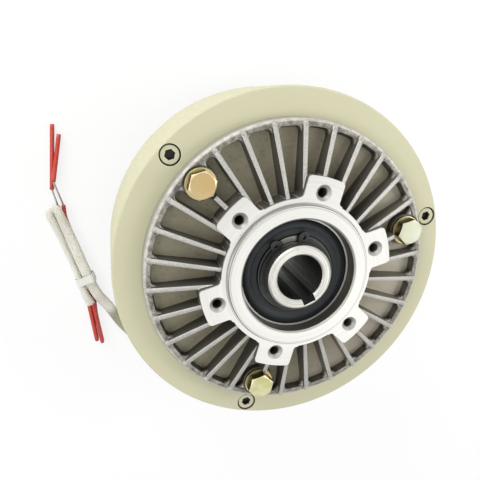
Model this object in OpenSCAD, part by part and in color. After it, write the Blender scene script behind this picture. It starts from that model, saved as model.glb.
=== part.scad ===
// Through-shaft magnetic powder brake, lying on its rear hub with the finned front cover up.
// Millimetres. The origin is the middle of the rear hub face and +Z runs along the shaft.
// The first cap screw, the first cover bolt and the first ear stand on +X.

/* [Drum] */
// Outer diameter of the drum
drum_d = 190; // [180:1:206]
// Width of the drum between its two faces
drum_w = 55; // [50:1:66]
// Rounding of the outer edges of the drum
drum_edge = 1.2; // [0.6:0.1:1.5]
// Chamfer on each side of the parting line of the drum
parting_chamfer = 0.5; // [0.2:0.1:0.8]
// Wall of the drum outside the coil pocket
drum_wall = 11.5; // [11:0.5:13]
// Thickness of the pole walls
pole_wall = 7; // [6:0.5:8]
// Height of the ring that parts the two poles
spacer_h = 8; // [5:0.5:12]
// Height of the coil pocket
coil_h = 24; // [18:1:26]
// Radial depth of the coil pocket
coil_depth = 16.5; // [12:0.5:17]
// Wall of the coil bobbin
bobbin_wall = 1.6; // [1:0.2:2.4]

/* [Cap screws] */
// Number of cap screws that join the drum halves, and of bolts in each cover
screw_count = 3; // [3]
// Distance of each cap screw from the outside of the drum
screw_inset = 6.5; // [6.2:0.1:7]
// Thread diameter of the cap screws
screw_d = 6; // [5:0.5:6]
// Head diameter of the cap screws
screw_head_d = 10; // [9:0.5:10]
// Head height of the cap screws
screw_head_h = 6; // [5:0.5:7]
// Depth of the head below the face of the drum
screw_sink = 0.6; // [0.2:0.1:2]
// Key size of the sockets
socket_af = 5; // [4:0.5:5]
// Length of the cap screws under the head
screw_len = 35; // [30:1:38]

/* [Cover] */
// Distance of the cover from the outside of the drum
cover_inset = 15; // [14.5:0.5:17]
// Depth of the register in the drum
register_depth = 5; // [4:0.5:6]
// Height of the rim above the drum face
rim_h = 7; // [6:0.5:8]
// Width of the rim between its outside and the pockets
rim_w = 4; // [3:0.5:5]
// Rounding of the outer edge of the rim
rim_round = 2.4; // [1:0.2:2.8]
// Height of the pocket floor at the rim
floor_rim_h = 2; // [1:0.5:3]
// Height of the pocket floor at the hub
floor_hub_h = 4; // [3:0.5:6]
// Number of fins, so many to each ear
fin_count = 30; // [24:6:36]
// Thickness of a fin along its crest
fin_crest = 1.8; // [1.4:0.2:2.6]
// Thickness of a fin at its root
fin_root = 3.4; // [3:0.2:4.4]
// Height of a fin at the rim
fin_rim_h = 8.2; // [8.2:0.2:9.4]
// Height of a fin at the hub
fin_hub_h = 15; // [13:0.5:16]

/* [Hub] */
// Diameter of the hub ring
ring_d = 83; // [81:0.5:84]
// Height of the hub ring and of the ears above the drum face
ring_h = 17; // [16.5:0.5:20]
// Diameter of the raised pilot
pilot_d = 77; // [74:0.5:78]
// Height of the pilot above the hub ring
pilot_h = 2.5; // [1.5:0.5:4]
// Bolt circle of the tapped holes in the ears
ear_pcd = 90; // [88:0.5:92]
// Diameter over the ears
ear_out_d = 106; // [104:1:110]
// Width of an ear
ear_w = 20.6; // [18:0.2:22]
// Corner rounding of an ear
ear_corner = 2; // [1:0.5:3]
// Tapping diameter of the ear holes
ear_hole_d = 5; // [4.2:0.1:5]
// Depth of the ear holes
ear_hole_depth = 14; // [10:0.5:16]
// Countersink diameter of the ear holes
ear_sink_d = 8.6; // [7:0.2:10]

/* [Cover bolts] */
// Distance of each cover bolt from the outside of the cover
bolt_inset = 10.5; // [10:0.5:11.5]
// Thread diameter of the cover bolts
bolt_d = 8; // [6:0.5:8]
// Key size of the bolt heads
bolt_af = 13; // [11:0.5:13]
// Height of the bolt heads
bolt_head_h = 5.3; // [4:0.1:6]
// Length of the bolts under the head
bolt_len = 21; // [19:0.5:21.5]
// Outer diameter of the washers
washer_d = 16; // [15.4:0.2:16.6]
// Thickness of the washers
washer_t = 1.6; // [1:0.1:2]
// Diameter of the spot faces under the washers
spot_d = 17.4; // [17:0.2:18.4]
// Height of the spot faces above the drum face
spot_h = 6.5; // [6:0.1:7]

/* [Shaft] */
// Bore of the hollow shaft
shaft_bore = 25; // [20:0.5:26]
// Width of the keyway in the bore
key_w = 7; // [5:0.5:8]
// Depth of the keyway below the bore
key_depth = 3.2; // [2:0.1:3.3]
// Turn of the keyway from the first ear
key_turn = 157; // [0:1:359]
// Diameter of the shaft in the bearings
journal_d = 35; // [35:0.5:36]
// Diameter of the shaft between the bearings
shaft_mid_d = 40; // [39:0.5:41]
// How far the shaft stands out of the front hub
shaft_proud = 0.6; // [0:0.1:2]
// How far the shaft stays inside the rear hub
shaft_shy = 0.4; // [0.3:0.1:2]
// Chamfer of the ends of the shaft
shaft_chamfer = 0.8; // [0.3:0.1:1]
// Depth of the circlip grooves
groove_depth = 1; // [0.6:0.1:1]
// Thickness of the circlips
clip_t = 1.5; // [1:0.1:1.5]
// Turn of the circlip gap from the first ear
clip_turn = 328; // [0:1:359]

/* [Bearings] */
// Outer diameter of the bearings
bearing_od = 62; // [61:0.5:64]
// Width of the bearings
bearing_w = 9; // [9:0.5:10]
// Depth of the bearing faces below the hub
bearing_recess = 7; // [6:0.5:8]
// Number of balls in each bearing
ball_count = 15; // [12:1:16]
// Diameter of the balls
ball_d = 5; // [4.6:0.1:5.2]
// Gap between the shoulders of the two races
race_gap = 3.5; // [3.2:0.1:3.8]
// Share of the room between shaft and seat that the face of the outer race takes beside its seal
lip_share = 0.1; // [0.08:0.01:0.13]
// Share of that room that the face of the inner race takes beside its seal
shelf_share = 0.25; // [0.22:0.01:0.27]
// Thickness of the rubber seals
bearing_seal_t = 0.9; // [0.6:0.1:1.2]
// Depth of the rubber seals below the bearing face
bearing_seal_sink = 0.5; // [0.4:0.1:0.8]

/* [Rotor] */
// Powder gap between the rotor and the poles
powder_gap = 1.8; // [1.2:0.1:2.5]
// Length of the rotor
rotor_h = 36; // [30:1:38]
// Thickness of the rotor rim
rotor_rim = 9; // [6:0.5:12]
// Thickness of the rotor web
rotor_web = 12; // [8:1:20]
// Wall of the rotor hub
rotor_hub_wall = 9; // [7:0.5:12]
// Width of the key between the rotor and the shaft
rotor_key_w = 8; // [6:0.5:10]
// Height of that key
rotor_key_h = 5; // [4:0.5:6]
// Thickness of the seal plates
seal_plate_t = 2; // [1:0.5:2.5]
// Radial width of the shaft seals
shaft_seal_w = 4; // [3:0.5:5]

/* [Lead] */
// Width of the flattened woven sleeve
sleeve_w = 6.8; // [6:0.2:6.8]
// Thickness of the flattened woven sleeve
sleeve_t = 3.2; // [3:0.1:3.2]
// Diameter of each insulated wire
wire_d = 2.6; // [1.8:0.2:2.6]
// Diameter of the bare strands
strand_d = 1.2; // [0.8:0.1:1.6]
// Height of the lead exit above the rear face of the drum
exit_h = 15.5; // [12:0.5:18]
// Turn of the lead exit from the first ear
exit_turn = 96; // [80:1:110]
// Diameter of the grommet flange
grommet_d = 13; // [11:0.5:14]
// Thickness of the band tie
tie_t = 0.6; // [0.4:0.1:0.6]
// Width of the band tie
tie_w = 5; // [3:0.5:9]

/* [Hidden] */
$fn = 96;
eps = 0.01;
// Clearance of a seated part in its seat, of a running part and of a bolt in its hole
seat_gap = 0.05;
run_gap = 0.3;
bolt_gap = 0.5;
head_gap = 0.5;

drum_r = drum_d / 2;
coil_out_r = drum_r - drum_wall;
coil_in_r = coil_out_r - coil_depth;
pole_r = coil_in_r - pole_wall;
screw_r = drum_r - screw_inset;
cover_r = drum_r - cover_inset;
pocket_r = cover_r - rim_w;
ring_r = ring_d / 2;
pilot_r = pilot_d / 2;
ear_out_r = ear_out_d / 2;
bolt_r = cover_r - bolt_inset;
seat_r = bearing_od / 2 + seat_gap;
journal_r = journal_d / 2;
shaft_mid_r = shaft_mid_d / 2;
shaft_seal_r = shaft_mid_r + shaft_seal_w;
pitch_r = (bearing_od + journal_d) / 4;
race_in_r = journal_r + seat_gap;
race_out_r = bearing_od / 2;
race_room = race_out_r - race_in_r;
race_t = (race_room - race_gap) / 2;
race_lip = lip_share * race_room;
race_shelf = shelf_share * race_room;
rotor_r = pole_r - powder_gap;

// Heights: each cover stands as high above its drum face as the other
cover_h = ring_h + pilot_h;
z_back = cover_h;
z_front = cover_h + drum_w;
z_mid = cover_h + drum_w / 2;
z_top = 2 * cover_h + drum_w;
bearing_face = cover_h - bearing_recess;
bearing_foot = bearing_face - bearing_w;
seal_lip_t = 1.5;
seal_foot = bearing_foot - 2 * seal_lip_t;

ear_count = 6;
ear_step = 360 / ear_count;
screw_step = 360 / screw_count;
fin_step = 360 / fin_count;
hex_corner = 2 / sqrt(3);

cream = [0.80, 0.79, 0.67];
cast = [0.62, 0.61, 0.57];
steel = [0.78, 0.79, 0.80];
zinc = [0.82, 0.72, 0.42];
black = [0.10, 0.10, 0.11];
copper = [0.72, 0.40, 0.22];
red = [0.74, 0.25, 0.21];
pale = [0.90, 0.88, 0.82];

// The way the sleeve leaves the drum, and the tip of the grommet that it starts from
exit_way = [cos(exit_turn), sin(exit_turn), 0];
exit_z = z_back + exit_h;
flange_t = 1.5;
nozzle_len = 3;
grommet_tip = (drum_r + flange_t + nozzle_len) * exit_way + [0, 0, exit_z];

// The lead lies on the surface under the rear hub: out of the grommet, down, along and back
sleeve_route = [
    grommet_tip, grommet_tip + 3 * exit_way,
    [-10, 105.5, 33.5], [-6, 106.5, 28.5], [0, 106, 22.5], [6, 105.8, 16.5], [12, 106, 11], [18, 106.6, 6.6],
    [25, 106.4, 3.6], [32, 104.8, 2], [38, 103.3, 1.8], [44, 101.9, 2.6], [50, 100.2, 4.4], [56, 97.8, 5],
    [61.9, 94.8, 5], [72, 89.5, 4.6], [84, 83, 4.4], [94, 77.5, 5], [99, 74.8, 5.8], [103.6, 72.4, 6.2],
    [105.6, 72.2, 6.2], [107.2, 73.4, 6.2], [107.4, 75.4, 6.2], [106.1, 77, 6.2], [101.5, 79.4, 5.6],
    [96.5, 82.1, 4.6], [86.5, 87.6, 3.6], [74.5, 94.1, 3.6], [64.7, 99.7, 4.6], [56.7, 104.4, 5.6],
    [49, 108, 5.1]
];
// How far the flat sleeve stands on its edge there, from lying flat to upright
sleeve_stand = [
    0, 0, 0, 0, 0, 0, 0, 0,
    0, 0, 0, 0, 0, 0,
    0, 0, 0, 0.3, 0.75, 1,
    1, 1, 1, 1, 1,
    1, 1, 1, 0.85, 0.6,
    0.35
];
wire_a_route = [
    [49.9, 109, 5.1], [44, 113.9, 4.6], [37, 119.7, 4.2], [30, 125.4, 4.2], [28.8, 126.4, 3.8],
    [28.3, 126.8, 2.8], [28.8, 126.4, 1.8], [30, 125.4, 1.4], [37, 119.7, 1.4], [44, 113.5, 1.4],
    [50, 107.5, 1.4], [55, 102.3, 1.6], [62.6, 96.5, 2], [72.7, 90.7, 1.6], [84.7, 84.2, 1.4],
    [94.7, 78.7, 1.4], [100, 75.4, 1.4], [105.5, 70.8, 1.4]
];
wire_b_route = [
    [48.1, 107, 5.1], [42.4, 111.7, 4.6], [34.9, 117.6, 4.2], [26.4, 124.3, 4.2], [25.1, 125.3, 3.8],
    [24.6, 125.7, 2.8], [25.1, 125.3, 1.8], [26.4, 124.3, 1.4], [34.9, 117.6, 1.4], [42.4, 111.4, 1.4],
    [48.2, 105.6, 1.4], [53.2, 100.3, 1.6], [61.3, 94, 2], [71.3, 88.3, 1.6], [83.3, 81.8, 1.4],
    [93.3, 76.3, 1.4], [98.4, 73, 1.4], [103.5, 68.2, 1.4]
];
// Ends of the cut slugs of insulation, near end first, one crossing over the other
slug_a = [[114.5, 65, 1.4], [138.6, 34.5, 1.4]];
slug_b = [[116.9, 60.2, 4.2], [132.3, 36.4, 1.4]];
tie_mid = [62.8, 96.7, 0];
tie_turn = -28;

// Arc of points from one angle to another
function arc(c, r, from, to, steps = 6) =
    [for (i = [0:steps]) let (a = from + (to - from) * i / steps) c + r * [cos(a), sin(a)]];

// Direction of a route at one of its points
function unit(v) = v / norm(v);
function way(p, i) = unit(p[min(i + 1, len(p) - 1)] - p[max(i - 1, 0)]);
// Sideways direction there: level, or carried along where the route turns over on itself
function level(p, i) = unit(cross(way(p, i), [0, 0, 1]));
function side(p, i) = i == 0 ? level(p, 0)
    : let (t = way(p, i), s = side(p, i - 1)) unit(s - (s * t) * t);

// Tube along a route, closed at both ends: round, or flat and turned on its edge where it stands
module tube(p, w, t, sides, stand = []) {
    last = len(p) - 1;
    ring_points = [
        for (i = [0:last])
            let (s = w == t ? side(p, i) : level(p, i), u = cross(way(p, i), s),
                 up = w == t ? 0 : stand[i], a = w + (t - w) * up, b = t + (w - t) * up)
            for (k = [0:sides - 1])
                p[i] + a / 2 * cos(k * 360 / sides) * s + b / 2 * sin(k * 360 / sides) * u
    ];
    walls = [
        for (i = [0:last - 1], k = [0:sides - 1])
            let (n = (k + 1) % sides)
            [i * sides + k, (i + 1) * sides + k, (i + 1) * sides + n, i * sides + n]
    ];
    near_cap = [for (k = [0:sides - 1]) k];
    far_cap = [for (k = [sides - 1:-1:0]) last * sides + k];
    polyhedron(ring_points, concat([near_cap], walls, [far_cap]));
}

// Straight rod between two points
module rod(a, b, d) {
    v = b - a;
    translate(a)
        rotate([0, acos(v[2] / norm(v)), atan2(v[1], v[0])])
            cylinder(d = d, h = norm(v));
}

// Children on the front drum face, pointing up, or on the rear drum face, pointing down
module at_front() {
    translate([0, 0, z_front]) children();
}
module at_rear() {
    translate([0, 0, z_back]) mirror([0, 0, 1]) children();
}

// Children once for each cap screw and cover bolt, at a radius
module on_screws(r) {
    for (i = [0:screw_count - 1])
        rotate(i * screw_step) translate([r, 0, 0]) children();
}

// Children once for each ear
module on_ears(r) {
    for (i = [0:ear_count - 1])
        rotate(i * ear_step) translate([r, 0, 0]) children();
}

module ring(r_in, r_out, h) {
    difference() {
        cylinder(r = r_out, h = h);
        translate([0, 0, -1]) cylinder(r = r_in, h = h + 2);
    }
}

// One half of the drum, from the parting plane at z = 0 up to its face
module yoke_body() {
    face = drum_w / 2;
    register_r = cover_r + seat_gap;
    rotate_extrude()
        polygon(concat(
            [[pole_r, spacer_h / 2], [coil_in_r, spacer_h / 2], [coil_in_r, coil_h / 2],
             [coil_out_r, coil_h / 2], [coil_out_r, 0], [drum_r - parting_chamfer, 0],
             [drum_r, parting_chamfer]],
            arc([drum_r - drum_edge, face - drum_edge], drum_edge, 0, 90),
            [[register_r, face], [register_r, face - register_depth],
             [pole_r, face - register_depth]]
        ));
}

// Tapped holes for the cover bolts, down from the register
module bolt_taps() {
    tap_foot = drum_w / 2 - bolt_reach() - 1;
    on_screws(bolt_r)
        translate([0, 0, tap_foot]) cylinder(d = bolt_d + 2 * seat_gap, h = drum_w / 2 - tap_foot);
}

// Depth of the bolt tips below the drum face
function bolt_reach() = bolt_len - washer_t - spot_h;

module front_yoke() {
    face = drum_w / 2;
    seat = face - screw_sink - screw_head_h;
    color(cream) translate([0, 0, z_mid]) difference() {
        yoke_body();
        bolt_taps();
        on_screws(screw_r) translate([0, 0, -1]) cylinder(d = screw_d + bolt_gap, h = face);
        on_screws(screw_r) translate([0, 0, seat]) cylinder(d = screw_head_d + 2 * head_gap, h = face);
    }
}

module rear_yoke() {
    tap_len = screw_len - (drum_w / 2 - screw_sink - screw_head_h) + 2;
    color(cream) difference() {
        translate([0, 0, z_mid]) mirror([0, 0, 1]) difference() {
            yoke_body();
            bolt_taps();
            on_screws(screw_r) translate([0, 0, -1]) cylinder(d = screw_d + 2 * seat_gap, h = tap_len + 1);
        }
        translate([0, 0, exit_z]) rotate(exit_turn) rotate([0, 90, 0])
            translate([0, 0, (coil_in_r + coil_out_r) / 2])
                cylinder(d = grommet_plug_d() + 2 * seat_gap, h = drum_r);
    }
}

module yoke_screws() {
    seat = z_front - screw_sink - screw_head_h;
    color(cream) on_screws(screw_r) translate([0, 0, seat]) difference() {
        union() {
            translate([0, 0, -screw_len]) cylinder(d = screw_d, h = screw_len + eps);
            rotate_extrude()
                polygon(concat(
                    [[0, 0], [screw_head_d / 2, 0]],
                    arc([screw_head_d / 2 - 0.6, screw_head_h - 0.6], 0.6, 0, 90, 4),
                    [[0, screw_head_h]]
                ));
        }
        translate([0, 0, screw_head_h / 2])
            cylinder(d = socket_af * hex_corner, h = screw_head_h, $fn = 6);
    }
}

module coil_bobbin() {
    r_in = coil_in_r + seat_gap;
    r_out = coil_out_r - run_gap;
    h = coil_h - 2 * seat_gap;
    color(black) translate([0, 0, z_mid - h / 2]) difference() {
        ring(r_in, r_out, h);
        translate([0, 0, bobbin_wall]) ring(r_in + bobbin_wall, r_out + 1, h - 2 * bobbin_wall);
    }
}

module coil_winding() {
    h = coil_h - 2 * (bobbin_wall + 2 * seat_gap);
    color(copper) translate([0, 0, z_mid - h / 2])
        ring(coil_in_r + bobbin_wall + 2 * seat_gap, coil_out_r - 2 * run_gap, h);
}

module pole_spacer() {
    h = spacer_h - 2 * seat_gap;
    color(steel) translate([0, 0, z_mid - h / 2]) ring(pole_r, coil_in_r, h);
}

module powder_ring() {
    h = rotor_h - 4;
    color([0.25, 0.25, 0.26]) translate([0, 0, z_mid - h / 2])
        ring(rotor_r + run_gap, pole_r - seat_gap, h);
}

// Solid of revolution of a cover: plate in the register, rim, pocket floor, hub and bearing seat
module cover_body() {
    wall_draft = 0.8;
    hub_draft = 0.5;
    edge = 0.5;
    mouth = 0.9;
    relief_r = race_out_r - race_t - 0.2;
    lip_r = shaft_mid_r + 2;
    rotate_extrude()
        polygon(concat(
            [[shaft_seal_r, -register_depth], [cover_r, -register_depth]],
            arc([cover_r - rim_round, rim_h - rim_round], rim_round, 0, 90),
            [[pocket_r, rim_h], [pocket_r - wall_draft, floor_rim_h],
             [ring_r + hub_draft, floor_hub_h], [ring_r, ring_h], [pilot_r, ring_h],
             [pilot_r, cover_h - edge], [pilot_r - edge, cover_h], [seat_r + mouth, cover_h],
             [seat_r, cover_h - mouth], [seat_r, bearing_foot], [relief_r, bearing_foot],
             [relief_r, bearing_foot - seal_lip_t], [lip_r, bearing_foot - seal_lip_t],
             [lip_r, seal_foot], [shaft_seal_r, seal_foot]]
        ));
}

// Radial fins with drafted sides, their crests falling from the hub to the rim
module cover_fins() {
    r_in = pilot_r;
    r_out = pocket_r + rim_w / 2;
    nose = 0.8;
    intersection() {
        for (i = [0:fin_count - 1])
            rotate(i * fin_step) translate([r_in - 1, 0, 0]) rotate([90, 0, 90])
                linear_extrude(r_out - r_in + 2)
                    polygon([[-fin_root / 2, 0], [fin_root / 2, 0],
                             [fin_crest / 2, fin_hub_h + 1], [-fin_crest / 2, fin_hub_h + 1]]);
        rotate_extrude()
            polygon([[r_in, 0], [r_out, 0], [r_out, fin_rim_h - nose], [r_out - nose, fin_rim_h],
                     [ring_r, fin_hub_h], [r_in, fin_hub_h]]);
    }
}

// Ear with an outer edge on the ear circle and two rounded corners
module cover_ear() {
    flank = ear_w / 2 - ear_corner;
    corner_x = sqrt(pow(ear_out_r - ear_corner, 2) - flank * flank);
    intersection() {
        cylinder(r = ear_out_r, h = ring_h);
        translate([pilot_r, -flank, 0]) cube([ear_out_r, 2 * flank, ring_h]);
    }
    translate([pilot_r, -ear_w / 2, 0]) cube([corner_x - pilot_r, ear_w, ring_h]);
    for (y = [-flank, flank])
        translate([corner_x, y, 0]) cylinder(r = ear_corner, h = ring_h);
    for (flip = [0, 1])
        mirror([0, flip, 0]) ear_fillet();
}

// Hollow rounding where the flank of an ear runs into the hub ring
module ear_fillet() {
    y = ear_w / 2;
    x = sqrt(pow(ring_r, 2) - y * y);
    difference() {
        translate([x - ear_corner, y - eps, 0]) cube([2 * ear_corner, ear_corner, ring_h]);
        translate([x + ear_corner, y + ear_corner, -1]) cylinder(r = ear_corner, h = ring_h + 2);
    }
}

module cover(drilled) {
    sink = (ear_sink_d - ear_hole_d) / 2;
    difference() {
        union() {
            cover_body();
            cover_fins();
            on_ears(0) cover_ear();
            on_screws(bolt_r) cylinder(d = spot_d, h = spot_h);
        }
        on_screws(bolt_r) translate([0, 0, spot_h]) cylinder(d = spot_d, h = ring_h);
        on_screws(bolt_r) translate([0, 0, -register_depth - 1])
            cylinder(d = bolt_d + bolt_gap, h = register_depth + spot_h + 2);
        if (drilled) {
            on_ears(ear_pcd / 2) translate([0, 0, ring_h - ear_hole_depth])
                cylinder(d = ear_hole_d, h = ear_hole_depth + 1);
            on_ears(ear_pcd / 2) translate([0, 0, ring_h - sink])
                cylinder(d1 = ear_hole_d, d2 = ear_sink_d + 2 * eps, h = sink + eps);
        }
    }
}

module front_cover() {
    color(cast) at_front() cover(true);
}

module rear_cover() {
    color(cast) at_rear() cover(false);
}

// Hex bolts with a chamfered crown and a round washer face
module cover_bolts() {
    crown = bolt_af / 2 - 0.3;
    corner = bolt_af / 2 * hex_corner;
    face_t = 0.4;
    on_screws(bolt_r) translate([0, 0, spot_h + washer_t]) {
        translate([0, 0, -bolt_len]) cylinder(d = bolt_d, h = bolt_len + face_t);
        cylinder(r = crown, h = face_t + eps);
        translate([0, 0, face_t]) intersection() {
            cylinder(r = corner, h = bolt_head_h - face_t, $fn = 6);
            rotate_extrude()
                polygon([[0, 0], [corner + 0.1, 0], [corner + 0.1, bolt_head_h - face_t - 0.7],
                         [crown, bolt_head_h - face_t], [0, bolt_head_h - face_t]]);
        }
    }
}

module front_cover_bolts() {
    color(zinc) at_front() cover_bolts();
}

module rear_cover_bolts() {
    color(zinc) at_rear() cover_bolts();
}

module cover_washers() {
    on_screws(bolt_r) translate([0, 0, spot_h]) ring((bolt_d + bolt_gap) / 2, washer_d / 2, washer_t);
}

module front_cover_washers() {
    color(zinc) at_front() cover_washers();
}

module rear_cover_washers() {
    color(zinc) at_rear() cover_washers();
}

// Groove that the balls run in, the same for both races
module ball_groove() {
    rotate_extrude() translate([pitch_r, bearing_foot + bearing_w / 2]) circle(d = ball_d + 2 * run_gap);
}

module bearing_outer_race() {
    edge = 0.6;
    r_in = race_out_r - race_t;
    r_lip = race_out_r - race_lip;
    room = bearing_seal_sink + bearing_seal_t + seat_gap;
    difference() {
        translate([0, 0, bearing_foot]) rotate_extrude()
            polygon([[r_in, room], [r_lip, room], [r_lip, 0], [race_out_r - edge, 0], [race_out_r, edge],
                     [race_out_r, bearing_w - edge], [race_out_r - edge, bearing_w], [r_lip, bearing_w],
                     [r_lip, bearing_w - room], [r_in, bearing_w - room]]);
        ball_groove();
    }
}

module bearing_inner_race() {
    edge = 0.6;
    r_out = race_in_r + race_t;
    r_lip = race_in_r + race_shelf;
    room = bearing_seal_sink + bearing_seal_t + run_gap;
    difference() {
        translate([0, 0, bearing_foot]) rotate_extrude()
            polygon([[race_in_r + edge, 0], [r_lip, 0], [r_lip, room], [r_out, room],
                     [r_out, bearing_w - room], [r_lip, bearing_w - room], [r_lip, bearing_w],
                     [race_in_r + edge, bearing_w], [race_in_r, bearing_w - edge], [race_in_r, edge]]);
        ball_groove();
    }
}

module bearing_seals() {
    for (z = [bearing_foot + bearing_seal_sink, bearing_face - bearing_seal_sink - bearing_seal_t])
        translate([0, 0, z])
            ring(race_in_r + race_shelf + run_gap, race_out_r - race_lip - seat_gap, bearing_seal_t);
}

module bearing_balls() {
    for (i = [0:ball_count - 1])
        rotate(i * 360 / ball_count) translate([pitch_r, 0, bearing_foot + bearing_w / 2]) sphere(d = ball_d);
}

module bearing_cage() {
    cage_h = ball_d + 0.8;
    cage_t = 2;
    difference() {
        translate([0, 0, bearing_foot + (bearing_w - cage_h) / 2])
            ring(pitch_r - cage_t / 2, pitch_r + cage_t / 2, cage_h);
        for (i = [0:ball_count - 1])
            rotate(i * 360 / ball_count)
                translate([pitch_r - cage_t, 0, bearing_foot + bearing_w / 2]) rotate([0, 90, 0])
                    cylinder(d = ball_d + 2 * seat_gap, h = 2 * cage_t);
    }
}

module front_bearing_outer_race() {
    color(steel) at_front() bearing_outer_race();
}

module rear_bearing_outer_race() {
    color(steel) at_rear() bearing_outer_race();
}

module front_bearing_inner_race() {
    color(steel) at_front() bearing_inner_race();
}

module rear_bearing_inner_race() {
    color(steel) at_rear() bearing_inner_race();
}

module front_bearing_seals() {
    color(black) at_front() bearing_seals();
}

module rear_bearing_seals() {
    color(black) at_rear() bearing_seals();
}

module front_bearing_balls() {
    color(steel) at_front() bearing_balls();
}

module rear_bearing_balls() {
    color(steel) at_rear() bearing_balls();
}

module front_bearing_cage() {
    color(zinc) at_front() bearing_cage();
}

module rear_bearing_cage() {
    color(zinc) at_rear() bearing_cage();
}

// Disc that closes the powder chamber under a cover
module seal_plate() {
    translate([0, 0, -register_depth - seal_plate_t])
        ring(shaft_mid_r + 1, pole_r - 2, seal_plate_t);
}

module front_seal_plate() {
    color(steel) at_front() seal_plate();
}

module rear_seal_plate() {
    color(steel) at_rear() seal_plate();
}

module shaft_seal() {
    translate([0, 0, -register_depth])
        ring(shaft_mid_r + run_gap, shaft_seal_r - seat_gap, register_depth + seal_foot - seat_gap);
}

module front_shaft_seal() {
    color(black) at_front() shaft_seal();
}

module rear_shaft_seal() {
    color(black) at_rear() shaft_seal();
}

// Hollow shaft with bearing journals, circlip grooves and a keyway along its bore
module shaft() {
    z_low = shaft_shy;
    z_high = z_top + shaft_proud;
    bore_r = shaft_bore / 2;
    groove_r = journal_r - groove_depth;
    groove_w = clip_t + 2 * seat_gap;
    front_step = z_front + bearing_foot;
    rear_step = z_back - bearing_foot;
    front_groove = z_front + bearing_face;
    rear_groove = z_back - bearing_face;
    color(steel) difference() {
        rotate_extrude()
            polygon([[bore_r + shaft_chamfer, z_low], [journal_r - shaft_chamfer, z_low],
                     [journal_r, z_low + shaft_chamfer], [journal_r, rear_groove - groove_w],
                     [groove_r, rear_groove - groove_w], [groove_r, rear_groove],
                     [journal_r, rear_groove], [journal_r, rear_step], [shaft_mid_r, rear_step],
                     [shaft_mid_r, front_step], [journal_r, front_step], [journal_r, front_groove],
                     [groove_r, front_groove], [groove_r, front_groove + groove_w],
                     [journal_r, front_groove + groove_w], [journal_r, z_high - shaft_chamfer],
                     [journal_r - shaft_chamfer, z_high], [bore_r + shaft_chamfer, z_high],
                     [bore_r, z_high - shaft_chamfer], [bore_r, z_low + shaft_chamfer]]);
        rotate(key_turn) translate([0, -key_w / 2, z_low - 1])
            cube([bore_r + key_depth, key_w, z_high - z_low + 2]);
        rotor_key_slot();
    }
}

// Height of the rotor key and the middle of it on the shaft
module rotor_key_place() {
    rotate(key_turn + 180) translate([shaft_mid_r, 0, z_mid]) children();
}

module rotor_key_slot() {
    rotor_key_place() cube(
        [rotor_key_h + 2 * seat_gap, rotor_key_w + 2 * seat_gap, rotor_h - 6 + 2 * seat_gap], center = true);
}

module rotor_key() {
    color(steel) rotor_key_place() cube([rotor_key_h, rotor_key_w, rotor_h - 6], center = true);
}

// Rotor: rim under the poles, web and hub in one solid of revolution
module rotor_drum() {
    bore = shaft_mid_r + seat_gap;
    hub_r = bore + rotor_hub_wall;
    rim_r = rotor_r - rotor_rim;
    half = rotor_h / 2;
    web = rotor_web / 2;
    color(steel) difference() {
        translate([0, 0, z_mid]) rotate_extrude()
            polygon([[bore, -half], [hub_r, -half], [hub_r, -web], [rim_r, -web], [rim_r, -half],
                     [rotor_r, -half], [rotor_r, half], [rim_r, half], [rim_r, web], [hub_r, web],
                     [hub_r, half], [bore, half]]);
        rotor_key_slot();
    }
}

// External circlip: an eccentric ring, open at two holed lugs
module circlip() {
    r_in = journal_r - groove_depth + seat_gap;
    r_out = journal_r + 2.6;
    off = 0.7;
    lug_turn = 22.7;
    lug_r = journal_r + 2.8;
    lug_d = 5.6;
    hole_d = 2.5;
    gap_turn = 15;
    reach = 2 * journal_r;
    translate([0, 0, bearing_face + seat_gap]) rotate(clip_turn) difference() {
        union() {
            translate([-off, 0, 0]) cylinder(r = r_out, h = clip_t);
            for (a = [-lug_turn, lug_turn])
                rotate(a) translate([lug_r, 0, 0]) cylinder(d = lug_d, h = clip_t);
        }
        translate([0, 0, -1]) cylinder(r = r_in, h = clip_t + 2);
        translate([0, 0, -1]) linear_extrude(clip_t + 2)
            polygon([[0, 0], reach * [cos(gap_turn), -sin(gap_turn)],
                     reach * [cos(gap_turn), sin(gap_turn)]]);
        for (a = [-lug_turn, lug_turn])
            rotate(a) translate([lug_r, 0, -1]) cylinder(d = hole_d, h = clip_t + 2);
    }
}

module front_circlip() {
    color(black) at_front() circlip();
}

module rear_circlip() {
    color(black) at_rear() circlip();
}

function grommet_plug_d() = grommet_d - 4;

// Rubber grommet: plug in the drum wall, flange on it and a tapered nozzle
module lead_grommet() {
    plug_r = grommet_plug_d() / 2;
    color(black) translate([0, 0, exit_z]) rotate(exit_turn) rotate([0, 90, 0]) rotate_extrude()
        polygon([[0, coil_out_r + 1], [plug_r, coil_out_r + 1], [plug_r, drum_r], [grommet_d / 2, drum_r],
                 [grommet_d / 2, drum_r + flange_t], [plug_r, drum_r + flange_t],
                 [sleeve_w / 2 + 0.8, drum_r + flange_t + nozzle_len], [0, drum_r + flange_t + nozzle_len]]);
}

module lead_sleeve() {
    color(pale) tube(sleeve_route, sleeve_w, sleeve_t, 12, sleeve_stand);
}

module lead_wire_a() {
    color(red) tube(wire_a_route, wire_d, wire_d, 8);
}

module lead_wire_b() {
    color(red) tube(wire_b_route, wire_d, wire_d, 8);
}

// Band round both legs of the sleeve and the wires under them
module lead_tie() {
    half_w = 2.3 + sleeve_w / 2;
    top = 4.5 + sleeve_w / 2;
    bottom_r = 1.2;
    top_r = sleeve_t / 2;
    color([0.94, 0.94, 0.92]) translate(tie_mid) rotate(tie_turn) translate([-tie_w / 2, 0, 0])
        rotate([90, 0, 90]) linear_extrude(tie_w) difference() {
            tie_outline(half_w, top, top_r, bottom_r, tie_t);
            tie_outline(half_w, top, top_r, bottom_r, 0);
        }
}

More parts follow.
